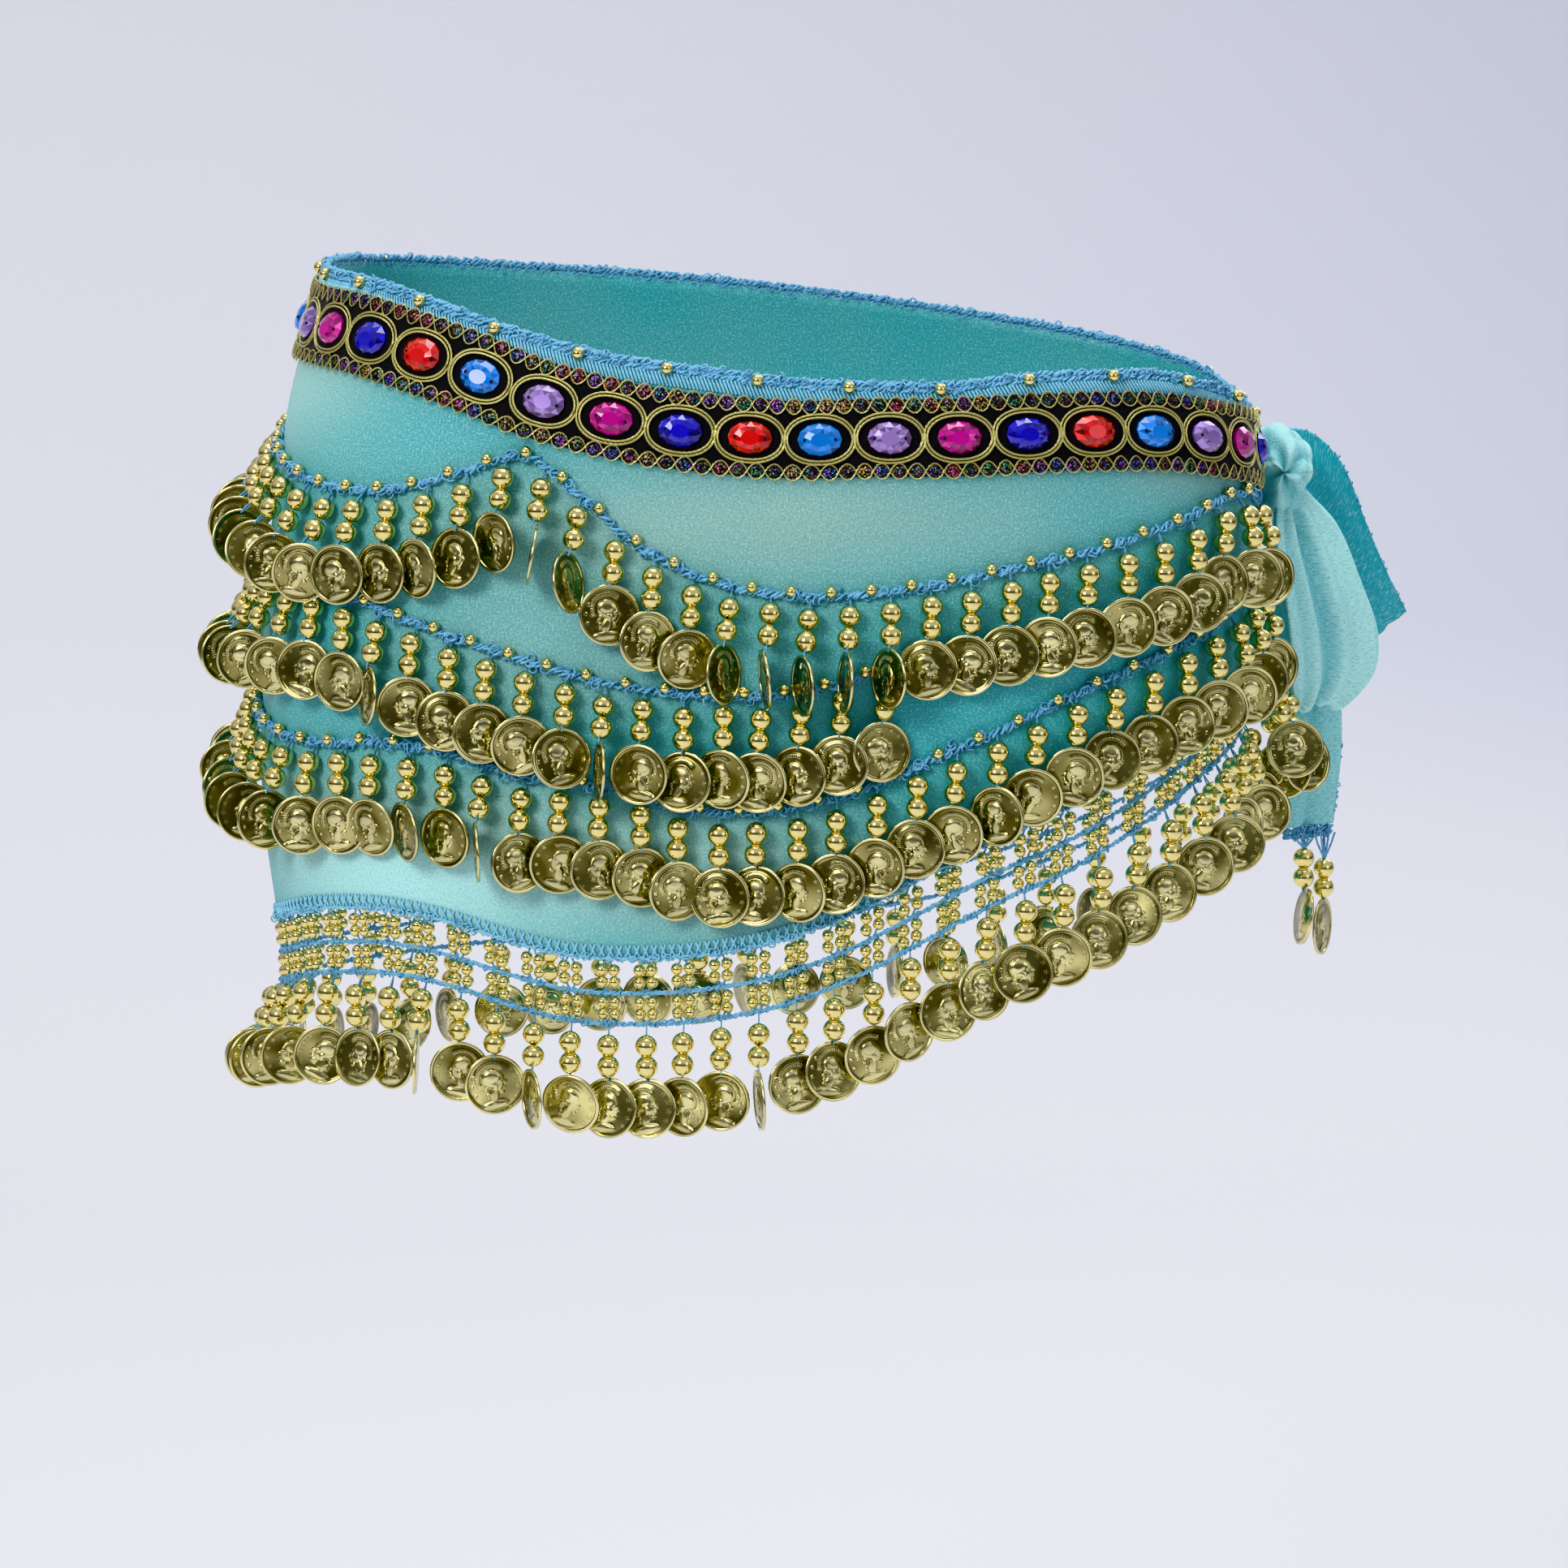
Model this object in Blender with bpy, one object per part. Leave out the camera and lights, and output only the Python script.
"""Belly dance hip belt, worn and tied at one side.

Its pieces are a wrapped hip cloth, a crocheted top edge, a jewelled band, three rows of bead and
coin pendants on the cloth, a beaded net below the hem with a pendant row under it, a side knot, a
bow loop and two tie ends.

+Z is up, the belt's front faces -Y and the knot is on the +X side. Sizes are in millimetres and
become metres where each mesh is made. A place on the belt is a run, a height and a distance out: the
run is measured round the widest section from the centre front, positive towards the knot.
"""

import bpy
import numpy as np

for leftover in list(bpy.data.objects):
    bpy.data.objects.remove(leftover, do_unlink=True)

MM = 0.001

CLOTH_THICKNESS = 1.6
SEAM_GAP = 0.3

# Horizontal sections of the hollow form. A power of 2 is an ellipse and more is squarer.
SECTION_POWER = 2.8
WIDEST_HALF_WIDTH = 169.0
WIDEST_HALF_DEPTH = 113.0

# height, half width, half depth, centre x, centre y
FORM_LEVELS = (
    (60.0, 141.0, 94.0, 0.0, 0.0),
    (33.0, 151.0, 100.0, 1.0, 0.0),
    (-9.0, 164.0, 108.5, 2.5, 1.0),
    (-37.0, 168.0, 111.5, 2.0, 2.0),
    (-66.0, 169.5, 113.0, 0.0, 3.0),
    (-108.0, 169.0, 114.0, -3.0, 4.0),
    (-150.0, 167.0, 113.0, -4.5, 4.0),
    (-187.0, 163.0, 111.0, -4.0, 4.0),
    (-270.0, 159.0, 109.0, -4.0, 4.0),
)

# The belt hangs lower towards the knot, and its rows are sewn on in swags.
# run, top edge, band middle, first row, third row, hem
BELT_LINES = (
    (232.0, -15.0, -29.0, -43.0, -65.0, -91.0),
    (200.0, -6.0, -22.5, -38.5, -70.0, -98.0),
    (170.0, 0.0, -18.5, -36.5, -77.0, -106.0),
    (140.0, 5.5, -14.5, -44.0, -87.0, -121.0),
    (110.0, 6.0, -13.5, -52.0, -98.0, -136.0),
    (85.0, 5.0, -14.0, -57.0, -109.5, -146.0),
    (60.0, 2.5, -15.0, -62.0, -120.0, -158.5),
    (35.0, 3.0, -15.0, -65.5, -130.5, -171.0),
    (10.0, 4.0, -15.5, -66.0, -136.0, -180.0),
    (-15.0, 7.0, -14.0, -61.5, -136.5, -184.5),
    (-40.0, 10.0, -11.0, -50.0, -130.0, -186.0),
    (-60.0, 13.0, -7.0, -34.5, -127.0, -185.0),
    (-80.0, 18.0, -2.0, -21.0, -124.0, -181.0),
    (-100.0, 23.0, 5.0, -26.0, -118.5, -175.5),
    (-125.0, 30.0, 12.0, -32.5, -116.0, -172.0),
    (-150.0, 35.0, 17.0, -33.0, -118.0, -173.5),
    (-190.0, 38.0, 20.0, -26.0, -114.0, -181.0),
    (-237.0, 40.0, 22.0, -17.0, -105.0, -188.0),
    (-300.0, 40.0, 22.0, -22.0, -104.0, -192.0),
    (-380.0, 36.0, 19.0, -32.0, -112.0, -190.0),
    (-473.0, 29.0, 12.0, -36.0, -122.0, -184.0),
    (-560.0, 18.0, 1.0, -40.0, -118.0, -170.0),
    (-630.0, 6.0, -11.0, -44.0, -101.0, -139.0),
    (-702.0, -11.0, -27.0, -44.0, -76.0, -98.0),
)
TOP_EDGE, BAND_MIDDLE, FIRST_ROW, THIRD_ROW, HEM = 1, 2, 3, 4, 5

# The second row is a short one.
# run, height
SECOND_ROW = (
    (50.0, -86.0),
    (32.0, -93.5),
    (9.0, -98.0),
    (-15.0, -98.5),
    (-44.0, -95.0),
    (-77.0, -87.0),
    (-104.0, -79.0),
    (-145.0, -67.0),
    (-190.0, -64.0),
    (-237.0, -64.0),
    (-300.0, -68.0),
    (-380.0, -76.0),
    (-473.0, -83.0),
    (-565.0, -80.0),
)

# The cloth's two side edges hang apart under the knot.
FRONT_END = 228.0
REAR_END = -701.0
CLOTH_BANDS = 8

# The creases near both ends run towards the knot.
CREASE_DEPTH = 1.2
CREASE_REACH = 32.0
CREASE_WAVES = 1.5

# Spacing of the pendants along each row: run, pitch
PENDANT_PITCH = (
    (-400.0, 19.0),
    (-300.0, 18.0),
    (-237.0, 15.5),
    (-120.0, 12.9),
    (120.0, 12.9),
    (237.0, 15.0),
)
FIRST_COLUMN = 217.0

# first run, last run of each row of pendants
FIRST_ROW_SPAN = (200.0, -688.0)
SECOND_ROW_SPAN = (50.0, -562.0)
THIRD_ROW_SPAN = (204.0, -688.0)
HEM_ROW_SPAN = (218.0, -696.0)

ROW_TAPE_HEIGHT = 4.0
ROW_TAPE_THICKNESS = 1.6
STRAND_ROOT_WIDTH = 3.0
COIN_TURN = 26.0
COIN_TURN_CHANGE = 6.0

# A pendant is two beads and a coin under them.
# drop below the thread, half width, half depth, distance out of its middle, share of the turn
PENDANT_LEVELS = (
    (9.0, 4.0, 3.4, 5.0, 0.0),
    (17.0, 1.1, 1.0, 5.6, 0.5),
    (20.5, 7.6, 0.8, 6.0, 1.0),
    (31.5, 7.6, 0.8, 6.4, 1.0),
)
PENDANT_LENGTH = 37.0

# Where the next thread is close below, the coins lie out over its beads.
CLEAR_DROP = 38.5
FULL_LIFT_CHANGE = 6.0
COIN_LIFT = 6.8

TOP_TRIM_HEIGHT = 3.2
TOP_TRIM_OUT = 0.8

BAND_WIDTH = 26.0
BAND_THICKNESS = 1.6
BAND_ENDS = (214.5, -689.5)
GEM_COUNT = 39
# place across the band, rise between gems, rise beside a gem, rise at its middle
BAND_PROFILE = (
    (0.0, 0.0, 0.0, 0.0),
    (0.09, 1.3, 1.3, 1.3),
    (0.2, 0.1, 0.6, 1.8),
    (0.5, 0.1, 3.2, 4.4),
    (0.8, 0.1, 0.6, 1.8),
    (0.91, 1.3, 1.3, 1.3),
    (1.0, 0.0, 0.0, 0.0),
)

# The net's bars and posts: drops below the hem of its horizontal lines
NET_DROPS = (SEAM_GAP, 2.3, 10.6, 12.6, 19.4)
NET_POST_SHARE = 0.62
NET_SPLIT_COLUMN = 29
HEM_ROW_DROP = 21.8

# The knot and what hangs from it are placed in a frame turned towards the front.
# Across is to the right in it, depth is towards the viewer.
KNOT_CENTRE = (178.6, 0.0, -31.5)
KNOT_HALF_SIZES = (10.4, 19.5, 14.5)
KNOT_SIDES = 16
KNOT_RINGS = 8
BOW_ORIGIN = (181.0, 0.0)
BOW_TURN = 40.0

# left, left height, right, right height, depth
BOW_LOOP = (
    (-11.0, -46.0, 5.0, -45.6, 4.5),
    (-15.5, -56.0, 16.5, -55.0, 9.0),
    (-14.0, -72.0, 25.0, -70.0, 12.0),
    (-10.5, -90.0, 34.0, -88.5, 12.0),
    (-6.0, -104.5, 34.5, -103.0, 9.0),
    (0.0, -114.0, 24.5, -113.5, 3.0),
    (0.0, -107.0, 26.0, -106.0, -3.0),
    (-2.0, -92.0, 29.0, -90.0, -4.5),
    (-4.0, -72.0, 22.0, -72.0, -4.0),
    (-3.0, -57.0, 11.0, -57.0, -2.5),
    (-3.0, -47.2, 5.0, -46.6, -2.0),
)
REAR_TIE_END = (
    (9.0, -38.0, 13.0, -18.0, -18.6),
    (18.0, -46.0, 28.0, -21.0, -17.0),
    (27.0, -60.0, 43.0, -33.0, -15.0),
    (36.0, -74.0, 54.5, -52.0, -15.5),
    (46.0, -88.0, 66.0, -70.0, -16.5),
    (61.0, -95.5, 78.0, -86.5, -17.0),
)
LONG_TIE_END = (
    (0.0, -45.8, 11.0, -42.2, -6.6),
    (4.0, -60.0, 21.0, -60.0, -9.0),
    (8.0, -80.0, 29.0, -80.0, -10.0),
    (11.0, -105.0, 36.0, -105.0, -9.5),
    (11.5, -130.0, 37.0, -130.0, -8.5),
    (9.0, -158.0, 32.5, -158.0, -8.0),
)
TIE_WAVE_DEPTH = 1.1
TIE_WAVES = 1.5
TIE_COLUMNS = 7
TAIL_TAPE = (9.0, 32.5, -158.3, -162.3, -8.0)
# across, drop of the pendant's start, turn
TAIL_PENDANTS = (
    (19.0, 0.0, -61.0),
    (29.0, 4.5, -27.0),
)


def smooth_curve(stations, values, at):
    """Read a smooth curve through (station, value) pairs at the given places."""
    order = np.argsort(stations)
    x = np.asarray(stations, float)[order]
    y = np.asarray(values, float)[order]
    slope = np.gradient(y, x)
    at = np.clip(np.asarray(at, float), x[0], x[-1])
    left = np.clip(np.searchsorted(x, at, side="right") - 1, 0, len(x) - 2)
    width = x[left + 1] - x[left]
    t = (at - x[left]) / width
    start = (2 * t**3 - 3 * t**2 + 1) * y[left] + (t**3 - 2 * t**2 + t) * width * slope[left]
    finish = (3 * t**2 - 2 * t**3) * y[left + 1] + (t**3 - t**2) * width * slope[left + 1]
    return start + finish


def column_curve(table, column, at):
    """Read one column of a table whose first column is the station."""
    stations = [row[0] for row in table]
    values = [row[column] for row in table]
    return smooth_curve(stations, values, at)


def widest_outline():
    """Points of the widest section, and the run at each of them."""
    turn = np.linspace(-np.pi, np.pi, 3601)
    wide = np.abs(np.sin(turn) / WIDEST_HALF_WIDTH) ** SECTION_POWER
    deep = np.abs(np.cos(turn) / WIDEST_HALF_DEPTH) ** SECTION_POWER
    radius = (wide + deep) ** (-1.0 / SECTION_POWER)
    x = radius * np.sin(turn)
    y = -radius * np.cos(turn)
    run = np.concatenate([[0.0], np.cumsum(np.hypot(np.diff(x), np.diff(y)))])
    return run - run[-1] / 2, x / WIDEST_HALF_WIDTH, y / WIDEST_HALF_DEPTH


OUTLINE_RUN, OUTLINE_X, OUTLINE_Y = widest_outline()
GIRTH = OUTLINE_RUN[-1] * 2


def plan_point(run, height):
    """Horizontal place on the form at a run and a height."""
    near = (np.asarray(run, float) + GIRTH / 2) % GIRTH - GIRTH / 2
    half_width = column_curve(FORM_LEVELS, 1, height)
    half_depth = column_curve(FORM_LEVELS, 2, height)
    x = column_curve(FORM_LEVELS, 3, height) + half_width * np.interp(near, OUTLINE_RUN, OUTLINE_X)
    y = column_curve(FORM_LEVELS, 4, height) + half_depth * np.interp(near, OUTLINE_RUN, OUTLINE_Y)
    return x, y


def directions(run, height):
    """Unit directions along the belt and outward, both level."""
    x0, y0 = plan_point(np.asarray(run, float) - 2.0, height)
    x1, y1 = plan_point(np.asarray(run, float) + 2.0, height)
    length = np.hypot(x1 - x0, y1 - y0)
    along = np.stack([(x1 - x0) / length, (y1 - y0) / length, np.zeros_like(length)], axis=-1)
    outward = np.stack([along[..., 1], -along[..., 0], np.zeros_like(length)], axis=-1)
    return along, outward


def crease(run, height):
    """Rise of the soft creases that run towards the knot."""
    top = column_curve(BELT_LINES, TOP_EDGE, run)
    hem = column_curve(BELT_LINES, HEM, run)
    share = (height - hem) / (top - hem)
    to_end = np.minimum(FRONT_END - run, run - REAR_END)
    strength = CREASE_DEPTH * np.exp(-np.maximum(to_end, 0.0) / CREASE_REACH)
    return strength * np.sin(2 * np.pi * CREASE_WAVES * np.clip(share, 0.0, 1.0))


def belt_point(run, height, out):
    """A place on the belt: run, height and distance out from the cloth's outer face."""
    run, height, out = np.broadcast_arrays(run, height, out)
    run = run.astype(float)
    height = height.astype(float)
    x, y = plan_point(run, height)
    outward = directions(run, height)[1]
    rise = out + crease(run, height)
    flat = np.stack([x, y, height], axis=-1)
    return flat + outward * rise[..., None]


def pendant_columns():
    """Runs at which the pendants hang, from the knot round to the rear end."""
    runs = [FIRST_COLUMN]
    while True:
        pitch = np.interp(runs[-1], *zip(*PENDANT_PITCH))
        if runs[-1] - pitch < REAR_END + 4.0:
            return np.array(runs)
        runs.append(runs[-1] - pitch)


def make_material(name, colour, roughness, metallic):
    """A plain Principled material."""
    material = bpy.data.materials.new(name)
    material.use_nodes = True
    shader = material.node_tree.nodes["Principled BSDF"]
    shader.inputs["Base Color"].default_value = (*colour, 1.0)
    shader.inputs["Roughness"].default_value = roughness
    shader.inputs["Metallic"].default_value = metallic
    material.diffuse_color = (*colour, 1.0)
    return material


def make_solid(name, points, faces, finish):
    """Make one closed solid from points in millimetres, with its faces outward."""
    points = np.asarray(points, float)
    used = sorted({index for face in faces for index in face})
    renumber = {old: new for new, old in enumerate(used)}
    points = points[used] * MM
    faces = [tuple(renumber[index] for index in face) for face in faces]
    volume = 0.0
    for face in faces:
        for second, third in zip(face[1:-1], face[2:]):
            volume += np.dot(points[face[0]], np.cross(points[second], points[third]))
    if volume < 0:
        faces = [face[::-1] for face in faces]
    mesh = bpy.data.meshes.new(name)
    mesh.from_pydata(points.tolist(), [], faces)
    mesh.validate()
    mesh.materials.append(make_material(name, *finish))
    solid = bpy.data.objects.new(name, mesh)
    bpy.context.scene.collection.objects.link(solid)
    return solid


def grid_faces(columns, rows, solid):
    """Faces of a wall cut into cells: outer points come first, then the inner ones.

    solid[column, row] says which cells are there.
    """
    def outer(i, j):
        return i * rows + j

    def inner(i, j):
        return (columns + i) * rows + j

    def filled(i, j):
        return 0 <= i < columns - 1 and 0 <= j < rows - 1 and solid[i, j]

    faces = []
    for i in range(columns - 1):
        for j in range(rows - 1):
            if not solid[i, j]:
                continue
            faces.append((outer(i, j), outer(i + 1, j), outer(i + 1, j + 1), outer(i, j + 1)))
            faces.append((inner(i, j), inner(i, j + 1), inner(i + 1, j + 1), inner(i + 1, j)))
            sides = (
                ((i, j - 1), (i + 1, j), (i, j)),
                ((i, j + 1), (i, j + 1), (i + 1, j + 1)),
                ((i - 1, j), (i, j), (i, j + 1)),
                ((i + 1, j), (i + 1, j + 1), (i + 1, j)),
            )
            for neighbour, start, finish in sides:
                if not filled(*neighbour):
                    faces.append((outer(*start), outer(*finish), inner(*finish), inner(*start)))
    return faces


def make_wall(name, outer, inner, finish, solid=None):
    """A wall between two grids of points, with the cells that solid leaves out cut through."""
    columns, rows = outer.shape[:2]
    if solid is None:
        solid = np.ones((columns - 1, rows - 1), bool)
    points = np.concatenate([outer.reshape(-1, 3), inner.reshape(-1, 3)])
    return make_solid(name, points, grid_faces(columns, rows, solid), finish)


def add_strand(points, faces, root, rings, tip):
    """Carry a three-sided strand on from its root triangle through rings to its tip."""
    upper = root
    for ring in rings:
        lower = [len(points) + k for k in range(3)]
        points.extend(ring)
        for k in range(3):
            n = (k + 1) % 3
            faces.append((upper[k], upper[n], lower[n], lower[k]))
        upper = lower
    points.append(tip)
    for k in range(3):
        faces.append((upper[k], upper[(k + 1) % 3], len(points) - 1))


def strand_ring(middle, along, outward, half_width, half_depth, turn):
    """Three corners of a strand: right front, left front and back, turned about the vertical."""
    across = along * np.cos(turn) + outward * np.sin(turn)
    front = outward * np.cos(turn) - along * np.sin(turn)
    return [
        middle + across * half_width + front * half_depth,
        middle - across * half_width + front * half_depth,
        middle - front * half_depth,
    ]


def pendant_rings(run, height, turn, lift):
    """Rings and tip of a pendant that hangs from a row at a run and a height."""
    rings = []
    for drop, half_width, half_depth, out, share in PENDANT_LEVELS:
        middle = belt_point(run, height - drop, out + lift * share)
        along, outward = directions(run, height - drop)
        rings.append(strand_ring(middle, along, outward, half_width, half_depth, turn * share))
    tip = belt_point(run, height - PENDANT_LENGTH, PENDANT_LEVELS[-1][3] + 0.4 + lift)
    return rings, tip


def make_row(name, runs, heights, below, finish):
    """A tape with one pendant under each of its stations, and the next thread's heights below."""
    half = ROW_TAPE_HEIGHT / 2
    near = SEAM_GAP
    far = SEAM_GAP + ROW_TAPE_THICKNESS
    reach = STRAND_ROOT_WIDTH / 2
    points = []
    faces = []
    stations = []
    for run, height in zip(runs, heights):
        start = len(points)
        points.append(belt_point(run, height + half, far))
        points.append(belt_point(run, height + half, near))
        points.append(belt_point(run + reach, height - half, far))
        points.append(belt_point(run - reach, height - half, far))
        points.append(belt_point(run, height - half, near))
        stations.append([start + k for k in range(5)])
    for here, there in zip(stations[:-1], stations[1:]):
        top, top_in, right, left, low_in = here
        top2, top_in2, right2, left2, low_in2 = there
        faces.append((top, top2, right2, left))
        faces.append((top, top_in, top_in2, top2))
        faces.append((top_in, low_in, low_in2, top_in2))
        faces.append((left, right2, low_in2, low_in))
    lifts = COIN_LIFT * np.clip((CLEAR_DROP - heights + below) / FULL_LIFT_CHANGE, 0.0, 1.0)
    for number, (run, height, lift) in enumerate(zip(runs, heights, lifts)):
        top, top_in, right, left, low_in = stations[number]
        faces.append((top, left, right))
        turn = np.radians(COIN_TURN + COIN_TURN_CHANGE * np.sin(2.4 * number))
        rings, tip = pendant_rings(run, height, turn, lift)
        add_strand(points, faces, [right, left, low_in], rings, tip)
    top, top_in, right, left, low_in = stations[0]
    faces.append((top, right, low_in, top_in))
    top, top_in, right, left, low_in = stations[-1]
    faces.append((top, top_in, low_in, left))
    return make_solid(name, points, faces, finish)


def make_wrap_cloth(columns):
    """The cloth itself, from one side edge round to the other."""
    runs = np.concatenate([[FRONT_END], columns, [REAR_END]])
    share = np.linspace(0.0, 1.0, CLOTH_BANDS + 1)
    top = column_curve(BELT_LINES, TOP_EDGE, runs)[:, None]
    hem = column_curve(BELT_LINES, HEM, runs)[:, None]
    heights = top + (hem - top) * share[None, :]
    outer = belt_point(runs[:, None], heights, 0.0)
    inner = belt_point(runs[:, None], heights, -CLOTH_THICKNESS)
    make_wall("wrap_cloth", outer, inner, ((0.07, 0.42, 0.42), 0.7, 0.0))


def make_top_trim(columns):
    """The crocheted edge that stands on the cloth's top edge."""
    runs = np.concatenate([[FRONT_END], columns, [REAR_END]])
    top = column_curve(BELT_LINES, TOP_EDGE, runs)[:, None]
    heights = top + np.array([[SEAM_GAP + TOP_TRIM_HEIGHT, SEAM_GAP]])
    outer = belt_point(runs[:, None], heights, TOP_TRIM_OUT)
    inner = belt_point(runs[:, None], heights, -CLOTH_THICKNESS - TOP_TRIM_OUT)
    make_wall("top_trim", outer, inner, ((0.03, 0.2, 0.5), 0.6, 0.0))


def make_jewel_band():
    """The band: braid ridges along both edges and a raised oval for each jewel."""
    count = GEM_COUNT * 4 + 1
    runs = np.linspace(BAND_ENDS[0], BAND_ENDS[1], count)
    middle = column_curve(BELT_LINES, BAND_MIDDLE, runs)
    slope = np.gradient(middle, runs)
    tall = BAND_WIDTH * np.sqrt(1 + slope**2)
    profile = np.array(BAND_PROFILE)
    kind = np.array([0, 1, 2, 1])[np.arange(count) % 4]
    heights = middle[:, None] + tall[:, None] * (0.5 - profile[None, :, 0])
    rise = profile[:, 1:].T[kind]
    base = SEAM_GAP + BAND_THICKNESS
    outer = belt_point(runs[:, None], heights, base + rise)
    backs = (0, 3, 6)
    inner = belt_point(runs[:, None], heights[:, backs], SEAM_GAP)
    rows = outer.shape[1]
    behind = inner.shape[1]
    offset = count * rows
    faces = []
    for i in range(count - 1):
        for j in range(rows - 1):
            a = i * rows + j
            faces.append((a, a + rows, a + rows + 1, a + 1))
        for j in range(behind - 1):
            a = offset + i * behind + j
            faces.append((a, a + 1, a + behind + 1, a + behind))
        for j, k, flip in ((0, 0, False), (rows - 1, behind - 1, True)):
            a = i * rows + j
            b = offset + i * behind + k
            rim = (a + rows, a, b, b + behind)
            faces.append(rim[::-1] if flip else rim)
    for i, flip in ((0, False), (count - 1, True)):
        for j in range(rows - 1):
            back = 0 if j < backs[1] else 1
            a = i * rows + j
            b = offset + i * behind + back
            cap = [(a, a + 1, b)]
            if j + 1 == backs[back + 1]:
                cap.append((a + 1, b + 1, b))
            faces.extend(face[::-1] if flip else face for face in cap)
    points = np.concatenate([outer.reshape(-1, 3), inner.reshape(-1, 3)])
    make_solid("jewel_band", points, faces, ((0.03, 0.03, 0.035), 0.5, 0.0))


def make_net(name, columns, first_end, last_end):
    """A stretch of the net: a bar under the hem, posts, a second bar and hanging posts."""
    runs = [first_end]
    for before, here, after in zip(columns[:-2], columns[1:-1], columns[2:]):
        half = (before - after) / 4 * NET_POST_SHARE
        runs.extend([here + half, here - half])
    runs.append(last_end)
    runs = np.array(runs)
    hem = column_curve(BELT_LINES, HEM, runs)
    heights = hem[:, None] - np.array(NET_DROPS)[None, :]
    outer = belt_point(runs[:, None], heights, 0.0)
    inner = belt_point(runs[:, None], heights, -CLOTH_THICKNESS)
    solid = np.zeros((len(runs) - 1, len(NET_DROPS) - 1), bool)
    solid[:, 0::2] = True
    solid[1::2, :] = True
    make_wall(name, outer, inner, ((0.05, 0.3, 0.5), 0.6, 0.0), solid)


def bow_point(across, depth, height):
    """A place in the turned frame of the knot."""
    turn = np.radians(BOW_TURN)
    x = BOW_ORIGIN[0] + across * np.cos(turn) + depth * np.sin(turn)
    y = BOW_ORIGIN[1] + across * np.sin(turn) - depth * np.cos(turn)
    return np.stack(np.broadcast_arrays(x, y, height), axis=-1).astype(float)


def make_tie_piece(name, rows, finish):
    """A length of tie cloth between its left and right edges, with soft folds along it."""
    table = np.array(rows)
    share = np.linspace(0.0, 1.0, TIE_COLUMNS)
    fade = np.minimum(np.arange(len(rows)) / 2.0, 1.0)[:, None]
    across = table[:, 0:1] + (table[:, 2:3] - table[:, 0:1]) * share
    height = table[:, 1:2] + (table[:, 3:4] - table[:, 1:2]) * share
    wave = TIE_WAVE_DEPTH * np.sin(2 * np.pi * TIE_WAVES * share)[None, :]
    middle = bow_point(across, table[:, 4:5], height)
    down = np.gradient(middle, axis=0)
    side = np.gradient(middle, axis=1)
    face = np.cross(down, side)
    face /= np.linalg.norm(face, axis=-1, keepdims=True)
    middle = middle + face * (wave * fade)[..., None]
    half = CLOTH_THICKNESS / 2
    make_wall(name, middle + face * half, middle - face * half, finish)


def make_knot():
    """The knot, creased round its waist and flat where it lies on the cloth."""
    points = []
    faces = []
    centre = np.array(KNOT_CENTRE)
    for ring in range(1, KNOT_RINGS):
        tilt = np.pi * ring / KNOT_RINGS
        for side in range(KNOT_SIDES):
            turn = 2 * np.pi * side / KNOT_SIDES
            fold = 1.0 + 0.07 * np.cos(turn * 4 + tilt * 3)
            shape = np.array([np.sin(tilt) * np.cos(turn), np.cos(tilt), np.sin(tilt) * np.sin(turn)])
            place = centre + shape * np.array(KNOT_HALF_SIZES) * fold
            side_x = column_curve(FORM_LEVELS, 3, place[2]) + column_curve(FORM_LEVELS, 1, place[2])
            place[0] = max(place[0], side_x + CREASE_DEPTH + SEAM_GAP - 0.1)
            points.append(place)
    for end in (1.0, -1.0):
        points.append(centre + np.array([0.0, end * KNOT_HALF_SIZES[1] * 0.98, 0.0]))
    for ring in range(KNOT_RINGS - 2):
        for side in range(KNOT_SIDES):
            a = ring * KNOT_SIDES + side
            b = ring * KNOT_SIDES + (side + 1) % KNOT_SIDES
            faces.append((a, b, b + KNOT_SIDES, a + KNOT_SIDES))
    last = (KNOT_RINGS - 2) * KNOT_SIDES
    for side in range(KNOT_SIDES):
        n = (side + 1) % KNOT_SIDES
        faces.append((len(points) - 2, n, side))
        faces.append((len(points) - 1, last + side, last + n))
    make_solid("side_knot", points, faces, ((0.08, 0.45, 0.46), 0.7, 0.0))


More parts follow.
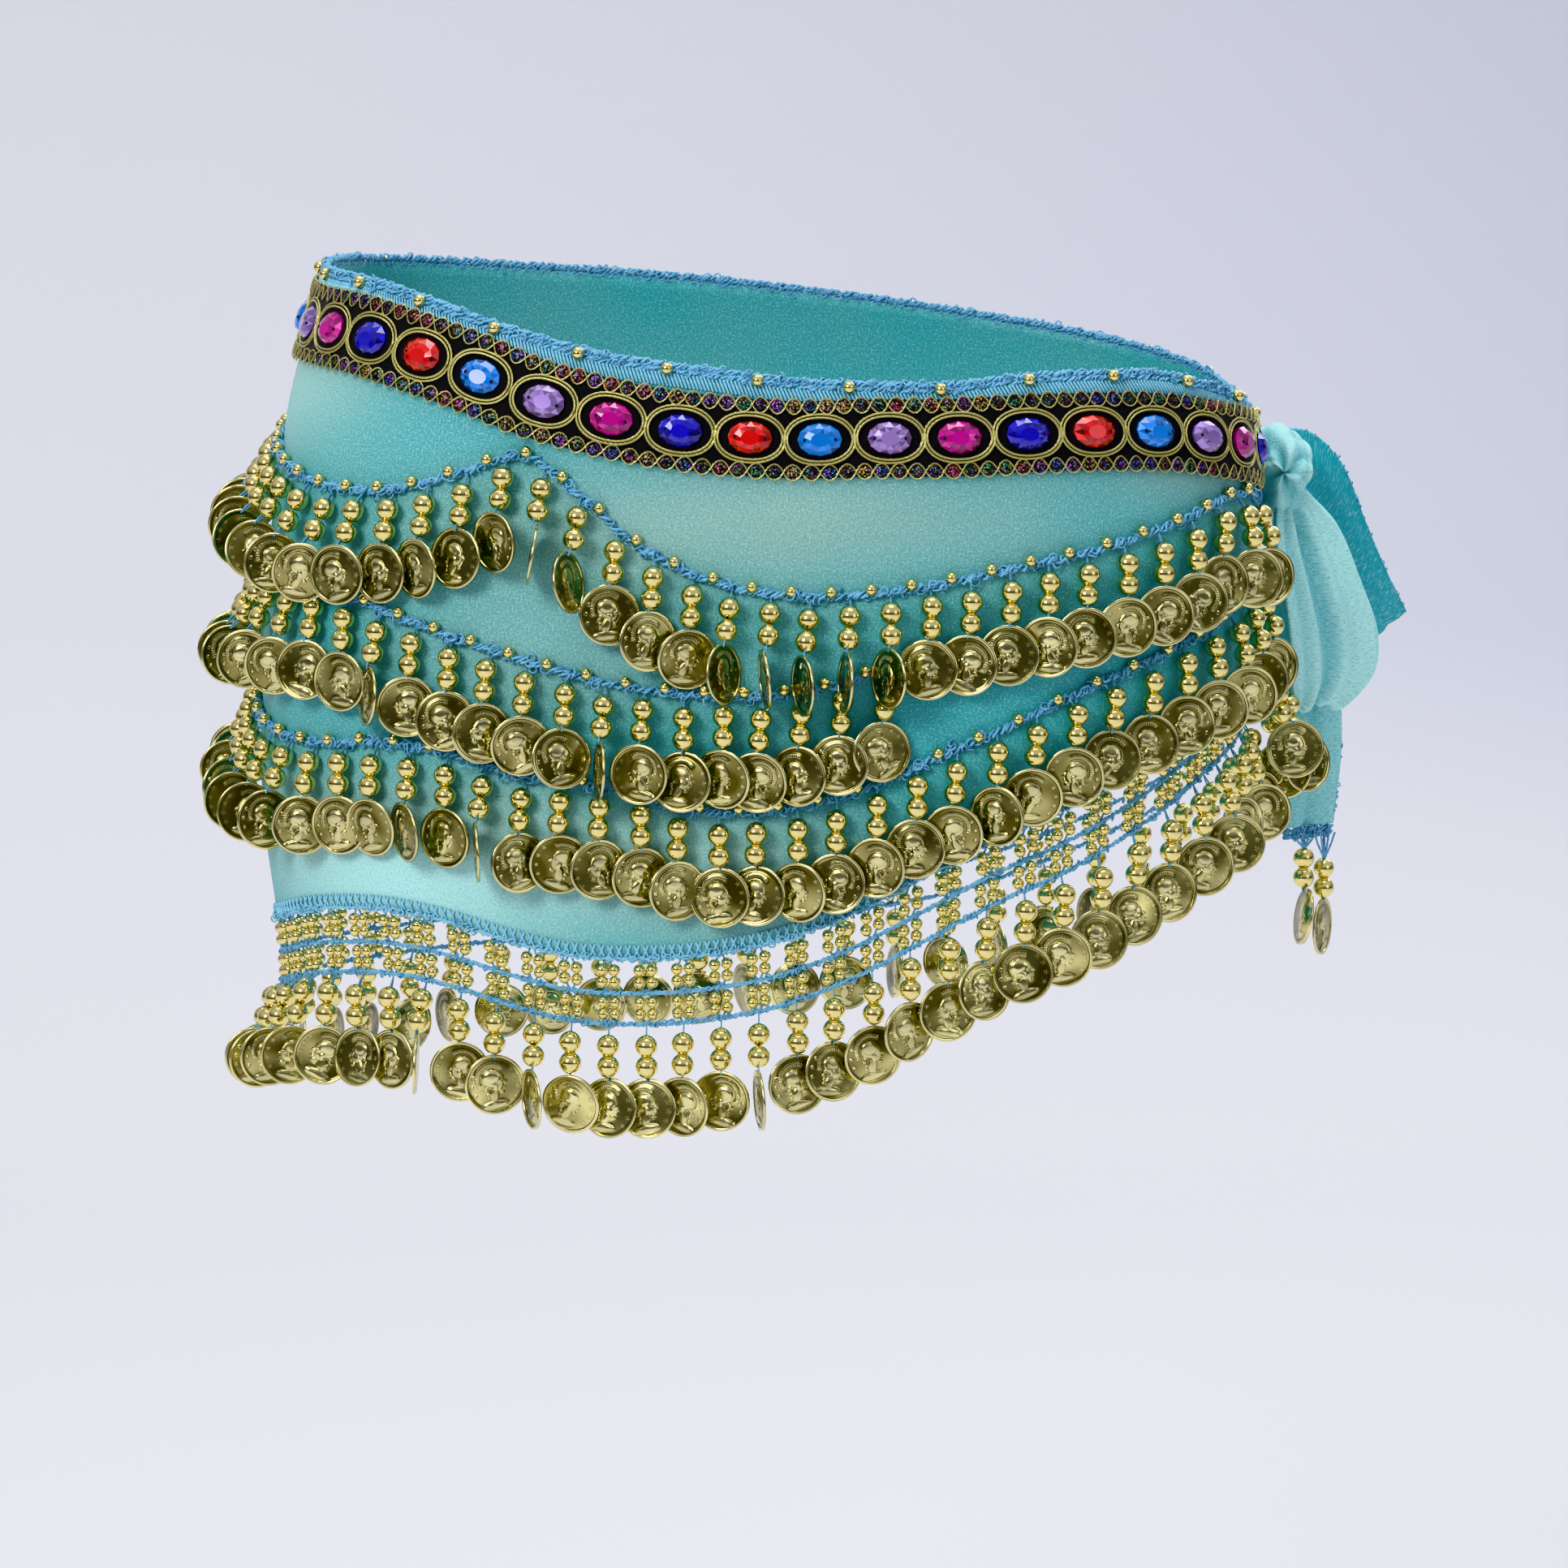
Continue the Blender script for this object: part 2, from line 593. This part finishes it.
def make_tail_fringe():
    """The crocheted end of the long tie end, with its two pendants."""
    left, right, top, low, depth = TAIL_TAPE
    half = CLOTH_THICKNESS / 2
    stops = [right]
    for across, _, _ in reversed(TAIL_PENDANTS):
        stops.extend([across + 2.0, across - 2.0])
    stops.append(left)
    points = []
    for across in stops:
        for out, height in ((half, top), (-half, top), (-half, low), (half, low)):
            points.append(bow_point(across, depth + out, height))
    faces = [(0, 3, 2, 1)]
    for i in range(len(stops) - 1):
        a = i * 4
        b = a + 4
        faces.append((a, b, b + 3, a + 3))
        faces.append((a, a + 1, b + 1, b))
        faces.append((a + 1, a + 2, b + 2, b + 1))
        if i % 2 == 0:
            faces.append((a + 3, b + 3, b + 2, a + 2))
            continue
        across, drop, degrees = TAIL_PENDANTS[1 - i // 2]
        faces.append((b + 3, b + 2, a + 2))
        turn = np.radians(BOW_TURN)
        along = np.array([np.cos(turn), np.sin(turn), 0.0])
        outward = np.array([np.sin(turn), -np.cos(turn), 0.0])
        rings = []
        for fall, half_width, half_depth, _, share in PENDANT_LEVELS:
            middle = bow_point(across, depth, (top + low) / 2 - fall - drop)
            spin = np.radians(degrees) * share
            rings.append(strand_ring(middle, along, outward, half_width, half_depth, spin))
        tip = bow_point(across, depth, (top + low) / 2 - PENDANT_LENGTH - drop)
        add_strand(points, faces, [a + 3, b + 3, a + 2], rings, tip)
    last = (len(stops) - 1) * 4
    faces.append((last, last + 1, last + 2, last + 3))
    make_solid("tail_fringe", points, faces, ((0.55, 0.42, 0.16), 0.4, 0.6))


def within(columns, span):
    """Which of the stations one row has."""
    return (columns <= span[0]) & (columns >= span[1])


def build_belt():
    """Make every piece."""
    columns = pendant_columns()
    brass = ((0.55, 0.42, 0.16), 0.4, 0.6)
    cloth = ((0.12, 0.5, 0.5), 0.7, 0.0)
    make_wrap_cloth(columns)
    make_top_trim(columns)
    make_jewel_band()
    first = column_curve(BELT_LINES, FIRST_ROW, columns)
    second = column_curve(SECOND_ROW, 1, columns)
    third = column_curve(BELT_LINES, THIRD_ROW, columns)
    hem_row = column_curve(BELT_LINES, HEM, columns) - HEM_ROW_DROP
    under_first = np.where(within(columns, SECOND_ROW_SPAN), second, third)
    rows = (
        ("fringe_row_1", FIRST_ROW_SPAN, first, under_first),
        ("fringe_row_2", SECOND_ROW_SPAN, second, third),
        ("fringe_row_3", THIRD_ROW_SPAN, third, hem_row),
        ("hem_fringe", HEM_ROW_SPAN, hem_row, hem_row - 2 * CLEAR_DROP),
    )
    for name, span, heights, below in rows:
        here = within(columns, span)
        make_row(name, columns[here], heights[here], below[here], brass)
    split = (columns[NET_SPLIT_COLUMN] + columns[NET_SPLIT_COLUMN + 1]) / 2
    front = columns[:NET_SPLIT_COLUMN + 2]
    back = columns[NET_SPLIT_COLUMN:]
    make_net("net_front", front, FRONT_END, split + SEAM_GAP / 2)
    make_net("net_back", back, split - SEAM_GAP / 2, REAR_END)
    make_knot()
    make_tie_piece("bow_loop", BOW_LOOP, cloth)
    make_tie_piece("rear_tie_end", REAR_TIE_END, cloth)
    make_tie_piece("long_tie_end", LONG_TIE_END, cloth)
    make_tail_fringe()


build_belt()
